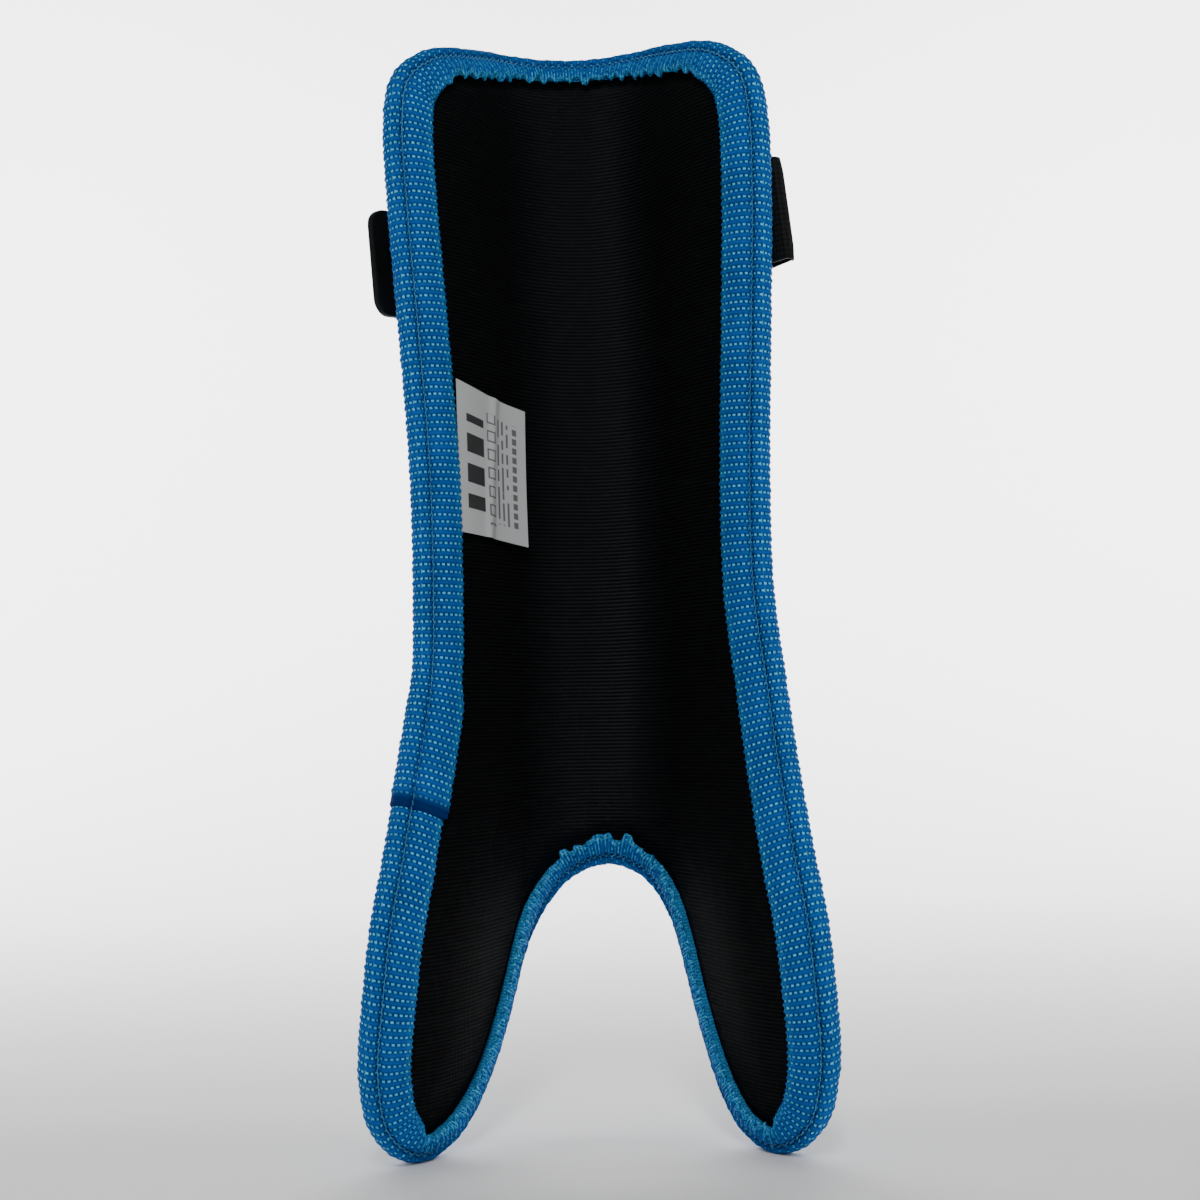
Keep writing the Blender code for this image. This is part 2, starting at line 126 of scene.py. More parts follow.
class Look:
    """A new material: its Principled shader, and the coordinates that its patterns read."""

    def __init__(self, name, **constants):
        self.material = bpy.data.materials.new(name)
        self.material.use_nodes = True
        self.tree = self.material.node_tree
        self.shader = self.tree.nodes["Principled BSDF"]
        for key, value in constants.items():
            self.shader.inputs[key.replace("_", " ")].default_value = value
        self.start = Value(self.tree, None)

    def place(self):
        return self.start.node("ShaderNodeTexCoord", out=3)

    def pattern(self):
        """The piece's own map, in millimetres along and across the cloth."""
        cloth_map = self.start.node("ShaderNodeUVMap", {"uv_map": "cloth"})
        return tuple(cloth_map.node("ShaderNodeSeparateXYZ", out=k, i0=cloth_map) for k in (0, 1))

    def stored(self, name):
        """A number stored on the piece's points."""
        return self.start.node("ShaderNodeAttribute", {"attribute_name": name}, out=2)

    def join(self, x, y, z=0.0):
        return self.start.node("ShaderNodeCombineXYZ", i0=x, i1=y, i2=z)

    def noise(self, vector, scale, detail=2.0):
        return self.start.node("ShaderNodeTexNoise", Vector=vector, Scale=scale, Detail=detail)

    def wire(self, **links):
        for key, value in links.items():
            self.tree.links.new(value.socket, self.shader.inputs[key.replace("_", " ")])

    def bump(self, height, distance, strength=1.0):
        surface = {"Strength": strength, "Distance": distance, "Height": height}
        self.wire(Normal=self.start.node("ShaderNodeBump", **surface))


NEAR_EDGE = -32 * MM                     # depth of the guard's near edges
EYE = 380 * MM - NEAR_EDGE               # from the shin bed back to the camera
PITCH, ROLL = math.radians(4.1), math.radians(1.44)

camera = bpy.data.objects.new("camera", bpy.data.cameras.new("camera"))
bpy.context.collection.objects.link(camera)
forward = Vector((0, math.cos(PITCH), math.sin(PITCH)))
right = Vector((1, 0, 0))
up = right.cross(forward)
turned_right = right * math.cos(ROLL) - up * math.sin(ROLL)
turned_up = right * math.sin(ROLL) + up * math.cos(ROLL)
facing = Matrix((turned_right, turned_up, -forward)).transposed().to_4x4()
camera.matrix_world = Matrix.Translation(-forward * EYE) @ facing
camera.data.sensor_width = 36
camera.data.lens = 50.5
camera.data.shift_x = 0.0054
camera.data.clip_start = 0.01
bpy.context.scene.camera = camera

FLOOR_WIDTH, FLOOR_RUN, FLOOR_NEAR = 5.0, 3.6, -1.5     # metres; the run is measured along the sweep
COVE_START, COVE_R = 0.5, 0.5                           # where the floor begins to curve up, and how
bpy.ops.object.select_all(action="DESELECT")
bpy.ops.mesh.primitive_grid_add(x_subdivisions=4, y_subdivisions=60, size=1, location=(0, 0, 0))
floor = bpy.context.object
floor.name = "floor"
for point in floor.data.vertices:
    run = (point.co.y + 0.5) * FLOOR_RUN + FLOOR_NEAR
    past = max(0.0, run - COVE_START)
    bend = min(past / COVE_R, math.pi / 2)
    y = min(run, COVE_START) + COVE_R * math.sin(bend)
    z = COVE_R * (1 - math.cos(bend)) + max(0.0, past - COVE_R * math.pi / 2)
    point.co = (point.co.x * FLOOR_WIDTH, y, z + cad_low.z)
bpy.ops.object.shade_smooth()
paper = Look("pale_paper", Roughness=0.9, Base_Color=(0.86, 0.86, 0.86, 1))
paper.bump(paper.noise(paper.place(), 40.0), 0.1 * MM, 0.1)
floor.data.materials.append(paper.material)


def lamp(name, place, aim, size, power, spread=180):
    """A soft rectangular light, in metres, watts and degrees of spread."""
    light = bpy.data.objects.new(name, bpy.data.lights.new(name, "AREA"))
    bpy.context.collection.objects.link(light)
    light.data.shape = "RECTANGLE"
    light.data.size, light.data.size_y = size
    light.data.energy = power
    light.data.spread = math.radians(spread)
    light.location = place
    light.rotation_mode = "QUATERNION"
    light.rotation_quaternion = (Vector(aim) - Vector(place)).to_track_quat("-Z", "Y")


lamp("key_panel", (-0.04, -0.85, 0.70), (0, 0, 0.02), (0.16, 0.5), 6.0)
lamp("fill_panel", (0.75, -0.75, 0.15), (0, 0, 0), (0.5, 0.7), 1.2)
lamp("low_panel", (0.0, -1.0, -0.02), (0, 0, 0), (0.5, 0.2), 0.12)
for side, name in ((-1, "backdrop_left"), (1, "backdrop_right")):
    lamp(name, (side * 0.9, 0.15, 0.5), (side * 0.1, 1.2, 0.1), (0.6, 1.0), 24, 110)
world = bpy.data.worlds.new("studio")
bpy.context.scene.world = world
world.use_nodes = True
world.node_tree.nodes["Background"].inputs["Color"].default_value = (1, 1, 1, 1)
world.node_tree.nodes["Background"].inputs["Strength"].default_value = 0.06


# ---- Lining ----
# A fine ribbed knit, laminated to the foam on the leg's side and caught under the tape all
# round. It is cut from the guard's pattern, laid in the trough and pulled down at the seam.
# millimetres, as everything below is: the guard's section has a round trough, two straight walls
# and a flare, and goes over from the shin's shape to the ankle's
SHIN_SLOPE, ANKLE_SLOPE = math.radians(58), math.radians(67)
SHIN_R, ANKLE_R = 22.0, 20.0
SHIN_ARM, ANKLE_ARM = 32.0, 44.0          # where the walls begin to flare
FLARE_R = 65.0
HALF_HEIGHT = 125.0
ANKLE_FROM, ANKLE_OVER = -15.0, 80.0      # height where the change begins, and its depth
BOTTOM_LEAN, TOP_LEAN, SIDE_BOW = 20.0, 3.0, 1.8
ARCH_SHIFT = 2.2                          # the arch is this far to the right
# the pattern's right half: distance from the middle along the section, and height
OUTLINE = [
    (0.0, 133.8), (16.0, 133.0), (32.0, 129.3), (44.4, 125.4), (52.2, 118.8), (54.2, 109.0),
    (53.9, 92.0), (51.8, 61.0), (49.6, 29.0), (49.3, 0.0), (51.2, -20.0), (56.0, -38.0),
    (63.5, -57.5), (71.5, -76.0), (75.8, -93.0), (76.8, -107.0), (74.4, -117.6), (67.6, -122.8),
    (58.2, -120.8), (48.6, -113.8), (39.8, -104.4), (32.6, -94.2), (25.6, -82.8), (18.4, -72.8),
    (10.0, -64.4), (0.0, -61.0),
]


def smooth(t):
    """0 below 0, 1 above 1, smooth between."""
    t = np.clip(t, 0.0, 1.0)
    return t * t * (3 - 2 * t)


def inner_face(s, z):
    """Points of the lining's face, in millimetres, at distance s round the section and height z."""
    ankle = smooth((ANKLE_FROM - z) / ANKLE_OVER)
    slope = SHIN_SLOPE + (ANKLE_SLOPE - SHIN_SLOPE) * ankle
    radius = SHIN_R + (ANKLE_R - SHIN_R) * ankle
    arm = SHIN_ARM + (ANKLE_ARM - SHIN_ARM) * ankle
    reach = np.abs(s)
    turn = np.minimum(reach, radius * slope) / radius
    straight = np.clip(reach - radius * slope, 0.0, arm - radius * slope)
    end = slope - np.maximum(reach - arm, 0.0) / FLARE_R
    x = radius * np.sin(turn) + straight * np.cos(slope) + FLARE_R * (np.sin(slope) - np.sin(end))
    depth = radius * (1 - np.cos(turn)) + straight * np.sin(slope)
    depth = depth + FLARE_R * (np.cos(end) - np.cos(slope))
    up_share = z / HALF_HEIGHT
    lean = np.where(up_share < 0, BOTTOM_LEAN, TOP_LEAN) * up_share ** 2
    return np.stack([np.sign(s) * x - SIDE_BOW * up_share ** 2, lean - depth, z], -1)


def wall(s, z, h):
    """Points at height h outside the lining's face."""
    s, z, h = np.broadcast_arrays(np.asarray(s, float), np.asarray(z, float), np.asarray(h, float))
    step = 0.05
    along = inner_face(s + step, z) - inner_face(s - step, z)
    rise = inner_face(s, z + step) - inner_face(s, z - step)
    out = np.cross(rise, along)
    out /= np.linalg.norm(out, axis=-1, keepdims=True)
    return inner_face(s, z) + out * h[..., None]


def closed_curve(points, samples):
    """Smooth closed curve through the points, as samples that are evenly spaced along it."""
    pts = np.array(points, float)
    fine = []
    for i in range(len(pts)):
        p0, p1, p2, p3 = (pts[(i + k) % len(pts)] for k in (-1, 0, 1, 2))
        t1 = np.linalg.norm(p1 - p0) ** 0.5
        t2 = t1 + np.linalg.norm(p2 - p1) ** 0.5
        t3 = t2 + np.linalg.norm(p3 - p2) ** 0.5
        t = np.linspace(t1, t2, 40, endpoint=False)[:, None]
        a1 = p0 * (t1 - t) / t1 + p1 * t / t1
        a2 = p1 * (t2 - t) / (t2 - t1) + p2 * (t - t1) / (t2 - t1)
        a3 = p2 * (t3 - t) / (t3 - t2) + p3 * (t - t2) / (t3 - t2)
        b1 = a1 * (t2 - t) / t2 + a2 * t / t2
        b2 = a2 * (t3 - t) / (t3 - t1) + a3 * (t - t1) / (t3 - t1)
        fine.append(b1 * (t2 - t) / (t2 - t1) + b2 * (t - t1) / (t2 - t1))
    fine = np.vstack(fine + [fine[0][:1]])
    run = np.concatenate([[0], np.cumsum(np.linalg.norm(np.diff(fine, axis=0), axis=1))])
    even = np.linspace(0, run[-1], samples, endpoint=False)
    return np.stack([np.interp(even, run, fine[:, k]) for k in (0, 1)], 1), run[-1]


def both_sides(half):
    """The whole outline from its right half, with the arch a little to the right."""
    whole = half + [(-s, z) for s, z in reversed(half[1:-1])]
    return [(s + (ARCH_SHIFT * float(smooth((64.0 - abs(s)) / 30.0)) if z < 0 else 0.0), z) for s, z in whole]


def inwards(loop):
    """Unit vectors into the loop."""
    along = np.roll(loop, -1, 0) - np.roll(loop, 1, 0)
    along /= np.linalg.norm(along, axis=1)[:, None]
    return np.stack([along[:, 1], -along[:, 0]], 1)


def inside(loop, points):
    """Which of the points are inside the loop."""
    hit = np.zeros(len(points), bool)
    for (s0, z0), (s1, z1) in zip(loop, np.roll(loop, -1, 0)):
        if z0 != z1:
            crosses = (z0 > points[:, 1]) != (z1 > points[:, 1])
            hit ^= crosses & (points[:, 0] < s0 + (points[:, 1] - z0) * (s1 - s0) / (z1 - z0))
    return hit


def distance_to(loop, points):
    """Distance to the loop, and its nearest point."""
    away = np.full(len(points), 1e9)
    nearest = np.zeros_like(points)
    for start in range(0, len(points), 4000):
        part = points[start:start + 4000]
        gap = np.linalg.norm(part[:, None] - loop[None], axis=2)
        pick = gap.argmin(1)
        away[start:start + 4000] = gap[np.arange(len(part)), pick]
        nearest[start:start + 4000] = loop[pick]
    return away, nearest


def new_grid(name, across, upward):
    """A flat grid whose vertices' places in it, from 0 to 1 each way, are returned with it."""
    bpy.ops.object.select_all(action="DESELECT")
    bpy.ops.mesh.primitive_grid_add(x_subdivisions=across, y_subdivisions=upward, size=1)
    piece = bpy.context.object
    piece.name = piece.data.name = name
    piece.data.uv_layers[0].name = "cloth"
    return piece, get_points(piece)[:, :2] + 0.5


def get_points(piece):
    """The vertices' coordinates, as they are stored."""
    flat = np.empty(len(piece.data.vertices) * 3)
    piece.data.vertices.foreach_get("co", flat)
    return flat.reshape(-1, 3)


def set_points(piece, points_mm):
    """Moves the vertices to these places in millimetres."""
    piece.data.vertices.foreach_set("co", (np.asarray(points_mm, float) * MM).ravel())
    piece.data.update()


def set_pattern(piece, map_mm):
    """Writes each vertex's place on the cloth, in millimetres, to the piece's own map."""
    corner = np.empty(len(piece.data.loops), int)
    piece.data.loops.foreach_get("vertex_index", corner)
    piece.data.uv_layers["cloth"].data.foreach_set("uv", np.asarray(map_mm, float)[corner].ravel())


def trim(piece, outside_faces):
    """Deletes the faces of a flat grid that lie outside its pattern."""
    bpy.context.tool_settings.mesh_select_mode = (False, False, True)
    piece.data.polygons.foreach_set("select", outside_faces)
    bpy.ops.object.mode_set(mode="EDIT")
    bpy.ops.mesh.delete(type="FACE")
    bpy.ops.object.mode_set(mode="OBJECT")


def face_centres(piece):
    """The middle of each face."""
    flat = np.empty(len(piece.data.polygons) * 3)
    piece.data.polygons.foreach_get("center", flat)
    return flat.reshape(-1, 3)


def cut_panel(name, loop, cell, holes=()):
    """A flat panel cut to loop from a fine grid, with its border drawn onto the loop."""
    low, high = loop.min(0) - cell, loop.max(0) + cell
    across, upward = (int(n) for n in np.ceil((high - low) / cell))
    piece, place = new_grid(name, across, upward)
    flat = low + place * (high - low)
    set_points(piece, np.column_stack([flat, np.zeros(len(flat))]) / MM)
    centres = face_centres(piece)[:, :2]
    gone = ~inside(loop, centres)
    for hole in holes:
        gone |= inside(hole, centres)
    trim(piece, gone)
    for edge in (loop, *holes):
        flat = get_points(piece)[:, :2]
        bpy.ops.object.mode_set(mode="EDIT")
        bpy.ops.mesh.select_all(action="SELECT")
        bpy.ops.mesh.region_to_loop()
        bpy.ops.object.mode_set(mode="OBJECT")
        border = np.empty(len(flat), bool)
        piece.data.vertices.foreach_get("select", border)
        away, nearest = distance_to(edge, flat)
        near = border & (away < 1.5 * cell)
        flat[near] = nearest[near]
        set_points(piece, np.column_stack([flat, np.zeros(len(flat))]) / MM)
    return piece, get_points(piece)[:, :2]


def select_only(piece):
    """Makes the piece the only selected object, and the active one."""
    bpy.ops.object.select_all(action="DESELECT")
    piece.select_set(True)
    bpy.context.view_layer.objects.active = piece


def apply_modifier(piece, kind, **settings):
    """Gives the piece a modifier and applies it."""
    select_only(piece)
    modifier = piece.modifiers.new(kind.lower(), kind)
    for key, value in settings.items():
        setattr(modifier, key, value)
    bpy.ops.object.modifier_apply(modifier=modifier.name)


def tidy_mesh(piece):
    """Joins doubled points and turns the faces outwards."""
    select_only(piece)
    bpy.ops.object.mode_set(mode="EDIT")
    bpy.ops.mesh.select_all(action="SELECT")
    bpy.ops.mesh.remove_doubles(threshold=1e-6)
    bpy.ops.mesh.normals_make_consistent(inside=False)
    bpy.ops.object.mode_set(mode="OBJECT")


def dress(piece, look, angle=50):
    """Shades the piece smooth up to this angle, and gives it its material."""
    select_only(piece)
    bpy.ops.object.shade_smooth_by_angle(angle=math.radians(angle))
    piece.data.materials.clear()
    piece.data.materials.append(look.material)


edge, edge_length = closed_curve(both_sides(OUTLINE), 700)

LINING_T = 0.8
CROWN = 0.45                              # the foam swells the knit this much between the seams
DRAWN_IN = 1.7                            # and the seam pulls it down this much
RIB_PITCH, WALE_PITCH = 0.9, 0.55
knit = Look("ribbed_knit", Specular_IOR_Level=0.10)
along_wale, up_rib = knit.pattern()
wobble = knit.noise(knit.join(along_wale * 0.02, up_rib * 0.02), 1.0) * 1.2
rib = (up_rib + wobble).wave(RIB_PITCH)
stitch_cell = (along_wale + rib * 0.2).wave(WALE_PITCH)
lint = knit.noise(knit.join(along_wale * 0.5, up_rib * 0.5), 3.0, 1.0).step_up(0.72, 0.8)
side_nap_and_shade = along_wale.math("ABSOLUTE").step_up(7.0, 24.0)      # the nap stands up on the side walls, so they are rougher; the colour there is also darkened as painted shade
# painted shade: the knit's colour is darkened on the steep side walls, where less light falls
lightness = rib * (0.5 + stitch_cell * 0.5) * (1 - side_nap_and_shade * 0.6) + lint * 0.3
knit.wire(Base_Color=lightness.mix((0.0002, 0.0003, 0.0004, 1), (0.0110, 0.0150, 0.0180, 1)),
          Roughness=0.42 - rib * 0.08 + side_nap_and_shade * 0.5)
knit.bump(rib * 0.75 + stitch_cell * 0.25, 0.30 * MM, 1.0)

lining, flat = cut_panel("lining_knit", edge + inwards(edge) * 1.0, 1.15)
away, _ = distance_to(edge, flat)
s, z = flat.T
centre_crease = 0.22 * np.exp(-((s - 0.03 * z) / 1.6) ** 2)
drawn_in = DRAWN_IN * (1 - smooth((away - 2.0) / 5.0)) - CROWN * smooth((away - 6.0) / 14.0)
puckers = 0.10 * np.sin(s / 5.3 + 0.4 * np.sin(z / 17)) * np.sin(z / 11.0)
set_points(lining, wall(s, z, drawn_in + centre_crease + puckers + LINING_T / 2))
set_pattern(lining, flat)
apply_modifier(lining, "SOLIDIFY", thickness=LINING_T * MM, offset=0.0)
tidy_mesh(lining)
dress(lining, knit)
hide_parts("lining")
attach(lining, "guard")


# ---- Binding tape ----
# One strip of ribbed filament webbing, folded over the layers' edge and stitched down along the
# groove beside its roll. It is wide on the straight sides and gathered round the top and arch.
ROLL_R, ROLL_H = 4.3, 3.2                 # the roll, and its middle's height over the lining
RIB = 1.62                                # from rib to rib
RIB_DEPTH = 0.30
GROOVE = math.radians(24)                 # where the seam lies, round the roll from its flat side
GROOVE_HALF = 0.38                        # half its width, as an angle
STRIP_MIN, STRIP_MORE = 2.6, 3.7          # the flat strips: round top and arch, and what sides add
SAMPLES = 4                               # stations for each rib
ribs = round(edge_length / RIB)
pitch = edge_length / ribs
tape_run, _ = closed_curve(both_sides(OUTLINE), ribs * SAMPLES)


def strip_width(loop):
    """Width of the flat strips at each station."""
    outwards = -inwards(loop)[:, 0] * np.sign(loop[:, 0])
    return STRIP_MIN + STRIP_MORE * smooth((outwards - 0.05) / 0.75)


def tape_section(width, lift):
    """Section of the tape as (inwards, height) points, from its edge on the lining round to the front."""
    def round_roll(a, deep=0.0):
        return (-(ROLL_R + lift - deep) * math.sin(a), -(ROLL_R + lift - deep) * math.cos(a))

    roll = [round_roll(a) for a in np.linspace(GROOVE + GROOVE_HALF, math.pi - GROOVE - GROOVE_HALF, 15)]
    strip = [(width * t, -ROLL_R - lift - 0.38 * math.sin(math.pi * t)) for t in np.linspace(0.93, 0.02, 7)]
    dip = [round_roll(GROOVE + a, deep)
           for a, deep in ((-0.22, 0.35), (-0.09, 1.25), (0.03, 1.65), (0.15, 1.10), (0.29, 0.22))]
    selvedge = [(width - 0.9, -ROLL_R + 1.2), (width - 0.1, -ROLL_R + 0.95),
                (width + 0.12, -ROLL_R + 0.5), (width, -ROLL_R - lift + 0.08)]
    half = selvedge + strip + dip
    return np.array(half + roll + [(u, -h) for u, h in reversed(half)])


RUFFLES = ((2.7, 0.35), (3.7, 0.8), (5.3, 0.6), (8.3, 0.4), (13.0, 0.25))     # lengths and sizes
TUCKS = ((0.8, 1.9), (6.6, 1.7), (-6.5, 0.9))                       # places over the arch, and sizes


def ruffle(along, seed):
    """Uneven bumps, -1 to 1, a few millimetres apart."""
    wave = np.zeros_like(along)
    for k, (length, size) in enumerate(RUFFLES):
        count = round(edge_length / length)
        wave += size * np.sin(2 * math.pi * count * along / edge_length + seed * (k + 1.7))
    return np.tanh(wave)


def sweep_tape(name, picked, closed, lift=0.0, rib_depth=RIB_DEPTH, step_in=0.0):
    """Carries the tape's section along the picked stations, with its ribs, and maps the cloth."""
    step = edge_length / len(tape_run)
    run, along = tape_run[picked], picked * step
    widths, inner = strip_width(tape_run)[picked], inwards(tape_run)[picked]
    lift, rib_depth, step_in = (np.broadcast_to(x, len(run)) for x in (lift, rib_depth, step_in))
    gather = smooth((6.2 - widths) / 3.0)
    sections = np.array([tape_section(width, up) for width, up in zip(widths + step_in, lift)])
    count, sides = sections.shape[:2]
    face = np.roll(sections, -1, 1) - np.roll(sections, 1, 1)
    face /= np.linalg.norm(face, axis=2)[..., None] + 1e-9
    out = np.stack([face[..., 1], -face[..., 0]], -1)
    out *= np.sign((out[:, sides // 2] * (-1, 0)).sum(-1))[:, None, None]
    arc = np.cumsum(np.linalg.norm(np.diff(sections, axis=1, prepend=sections[:, :1]), axis=2), axis=1)
    across = arc - arc[:, sides // 2:sides // 2 + 1]
    rib = 0.5 - 0.5 * np.cos(2 * math.pi * along / pitch)
    shown = np.ones(sides)
    shown[[0, 1, -2, -1]] = 0.0
    outer = smooth((np.sin(np.linspace(0, math.pi, sides)) - 0.62) / 0.3)
    pulled = gather[:, None] * outer[None]                # the fold's outer side is pulled smooth
    push = rib_depth[:, None] * (rib[:, None] - 0.5) * shown * (1 - 0.8 * pulled)
    push = push + 0.07 * ruffle(along, 5.0)[:, None] * shown
    sections = sections + out * push[..., None]
    loose = np.clip((sections[..., 0] - 0.6) / 2.0, 0, 1) * shown
    swing = gather * 0.95 * ruffle(along, 1.0)
    swing += (1 - gather) * 0.16 * (rib - 0.5 + 0.6 * ruffle(along, 4.0))
    at_arch = (run[:, 1] < -50) & (run[:, 1] > -72)
    tucks = sum(size * np.exp(-((run[:, 0] - s) / 1.7) ** 2) for s, size in TUCKS)
    swing += at_arch * tucks                              # the tape's slack is caught in big tucks
    sections[..., 0] += swing[:, None] * loose
    rise = gather * (0.25 + 0.42 * ruffle(along, 2.0)) + at_arch * tucks * 0.25
    sections[..., 1] += np.sign(sections[..., 1]) * rise[:, None] * loose
    sections[..., 0] += 0.10 * ruffle(along, 3.0)[:, None]
    flat = run[:, None] + inner[:, None] * sections[..., :1]
    points = wall(flat[..., 0], flat[..., 1], ROLL_H + sections[..., 1])
    spans = count if closed else count - 1
    tape, place = new_grid(name, spans, sides)
    column, row = (np.rint(place * (spans, sides)).astype(int)).T
    station, side = column % count, row % sides
    set_points(tape, points[station, side])
    set_pattern(tape, np.stack([along[0] + column * step, across[station, side]], 1))
    mark(tape, "fold", pulled[station, side])
    mark(tape, "gather", gather[station] * (1 - outer)[side])
    mark(tape, "loose_edge", (np.minimum(row, sides - row) < 6) * (0.45 + 0.55 * gather[station]))
    mark(tape, "plain", np.zeros(len(column)))
    return tape, column


def mark(piece, name, values):
    """Stores a number on each vertex, for the piece's material."""
    layer = piece.data.attributes.new(name, "FLOAT", "POINT")
    layer.data.foreach_set("value", np.asarray(values, float))


# ribs of close yarn, with rows of short shining floats in the valleys between them
DEEP_BLUE, BRIGHT_BLUE = np.array([0.0, 0.082, 0.34]), (0.13, 0.66, 1.0, 1)
SHADOW_BLUE, PLAIN_BLUE = (0.0, 0.004, 0.02, 1), (0.0, 0.022, 0.13, 1)
FLOAT_PITCH = 1.34
webbing = Look("blue_webbing", Specular_IOR_Level=0.06)
along, across = webbing.pattern()
row = (along / pitch).math("ROUND")
from_row = (along - row * pitch).math("ABSOLUTE")
from_fold = across.math("ABSOLUTE")
shifted = across + (row * math.pi).math("COSINE") * (FLOAT_PITCH / 4)
cell = webbing.join(row, (shifted / FLOAT_PITCH).math("ROUND"))
chance = webbing.start.node("ShaderNodeTexWhiteNoise", {"noise_dimensions": "2D"}, Vector=cell)
dash = (shifted * (2 * math.pi / FLOAT_PITCH)).math("COSINE").step_up(-0.55, 0.25)
floats = (1 - from_row.step_up(0.14, 0.34)) * dash * (chance * 0.55 + 0.45)
# painted highlight: short light ticks along the roll's crest, where the lamp's highlight falls on the roll
crest = 1 - (from_fold - 1.9).math("ABSOLUTE").step_up(0.10, 0.26)
crest_highlight = crest * (1 - from_row.step_up(0.34, 0.62)) * (chance * 0.7 + 0.2)
bunched, plain = webbing.stored("gather"), webbing.stored("plain")
close_rows = (along * (4 * math.pi / pitch)).math("COSINE").step_up(0.1, 0.8)
streaks = webbing.noise(webbing.join(along * 0.7, across * 0.45), 1.3, 1.0).step_up(0.42, 0.60)
floats = floats * (1 - bunched * 0.7) + close_rows * streaks * bunched * 0.42
shine = (floats + crest_highlight * 0.55).clamped() * (1 - webbing.stored("fold") * 0.65) * (1 - plain)
yarn = webbing.noise(webbing.join(along * 0.8, across * 3.5), 1.6, 2.0)
grain = webbing.noise(webbing.join(along, across), 0.09, 1.0)
rib = (1 - along.wave(pitch))
depth = (rib * 0.55 + yarn * 0.45 + (grain - 0.5) * 0.5).clamped()
ground = depth.mix((*(0.35 * DEEP_BLUE), 1), (*(1.5 * DEEP_BLUE), 1))
from_seam = (from_fold - (math.pi / 2 - GROOVE) * ROLL_R).math("ABSOLUTE")
ground = (from_seam.step_up(0.2, 1.3) * 0.35 + 0.65).mix(SHADOW_BLUE, ground)
edge_loops = webbing.stored("loose_edge") * yarn.step_up(0.45, 0.62) * 0.55 * (1 - plain)
webbing.wire(Base_Color=plain.mix((shine + edge_loops).clamped().mix(ground, BRIGHT_BLUE), PLAIN_BLUE),
             Roughness=0.75 - shine * 0.3)
webbing.bump(rib * 0.5 + shine * 0.7 + yarn * 0.35, 0.22 * MM)
tape, _ = sweep_tape("binding_webbing", np.arange(len(tape_run)), closed=True)
tidy_mesh(tape)
dress(tape, webbing, 70)
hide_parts("binding_tape")
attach(tape, "guard")


# ---- Seam of the binding ----
# Blue thread in both grooves. It comes up out of the tape and goes down again at each stitch.
def thread_ring(name, flat, height, sideways, radius=0.17):
    """A closed thread through points at flat and at height over the lining; sideways is across it."""
    count, spokes = len(flat), 6             # the thread's sides
    thread, place = new_grid(name, count, spokes)
    column = np.rint(place[:, 0] * count).astype(int) % count
    spoke = 2 * math.pi * np.rint(place[:, 1] * spokes) / spokes
    at = flat[column] + sideways[column] * (radius * np.cos(spoke))[:, None]
    set_points(thread, wall(at[:, 0], at[:, 1], height[column] + radius * np.sin(spoke)))
    gap = np.linalg.norm(np.diff(flat, axis=0), axis=1).mean()
    set_pattern(thread, np.stack([place[:, 0] * count * gap, place[:, 1]], 1))
    tidy_mesh(thread)
    return thread


def stitch_line(name, side):
    """The thread in the groove on the lining's side (1) or in front (-1), a stitch to each rib."""
    wave = 2 * math.pi * np.arange(len(tape_run)) / SAMPLES
    from_middle = ROLL_R - 1.0 + 0.42 * np.cos(wave)
    turn = GROOVE + 0.03 + 0.035 * np.sin(wave)
    inner = inwards(tape_run)
    flat = tape_run - inner * (from_middle * np.sin(turn))[:, None]
    return thread_ring(name, flat, ROLL_H - from_middle * np.cos(turn) * side, inner)


seam_look = Look("blue_thread", Roughness=0.5, Sheen_Weight=0.2)
along_thread, round_thread = seam_look.pattern()
twist = (along_thread + round_thread * 0.5).wave(0.5)
seam_look.wire(Base_Color=twist.mix((0.005, 0.11, 0.34, 1), (0.08, 0.38, 0.70, 1)))
for name, side in (("seam_on_lining_side", 1), ("seam_in_front", -1)):
    thread = stitch_line(name, side)
    dress(thread, seam_look, 80)
    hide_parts("binding_thread")
    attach(thread, "guard")


# ---- Lap of the binding ----
# The tape's doubled end on the left side. It wraps the whole edge once more, and its last few
# millimetres are turned under and sewn flat, which leaves a plain band.
LAP_FROM, LAP_TO, PLAIN = -17.0, -48.5, 1.6
run_s, run_z = tape_run.T
on_lap = np.flatnonzero((run_s < -45) & (run_z > LAP_TO) & (run_z < LAP_FROM))
lap_z = run_z[on_lap]
at_end = np.minimum(smooth((lap_z - LAP_TO) / 0.9), smooth((LAP_FROM - lap_z) / 9.0))
plain = 1 - smooth((lap_z - LAP_TO - PLAIN) / 2.5)
lap, column = sweep_tape("binding_lap_webbing", on_lap, closed=False, lift=0.62 * at_end - 0.15,
                         rib_depth=RIB_DEPTH * (0.9 - 0.7 * plain), step_in=0.9 * at_end)
lap.data.attributes["plain"].data.foreach_set("value", plain[column])
tidy_mesh(lap)
dress(lap, webbing, 70)
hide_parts("binding_lap")
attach(lap, "guard")


# ---- Foam core ----
# Closed-cell foam between the lining and the cover, cut to the guard's pattern. The tape hides
# its edge.
foam_look = Look("grey_foam", Roughness=0.9, Base_Color=(0.03, 0.03, 0.032, 1))
foam_look.bump(foam_look.noise(foam_look.place(), 900.0), 0.2 * MM)
FOAM_H, FOAM_T = 3.3, 2.6                 # its middle's height over the lining, and its thickness
foam, flat = cut_panel("foam_sheet", edge + inwards(edge) * 1.6, 3.4)
set_points(foam, wall(flat[:, 0], flat[:, 1], FOAM_H))
apply_modifier(foam, "SOLIDIFY", thickness=FOAM_T * MM, offset=0.0)
tidy_mesh(foam)
dress(foam, foam_look)
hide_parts("foam_core")
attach(foam, "guard")


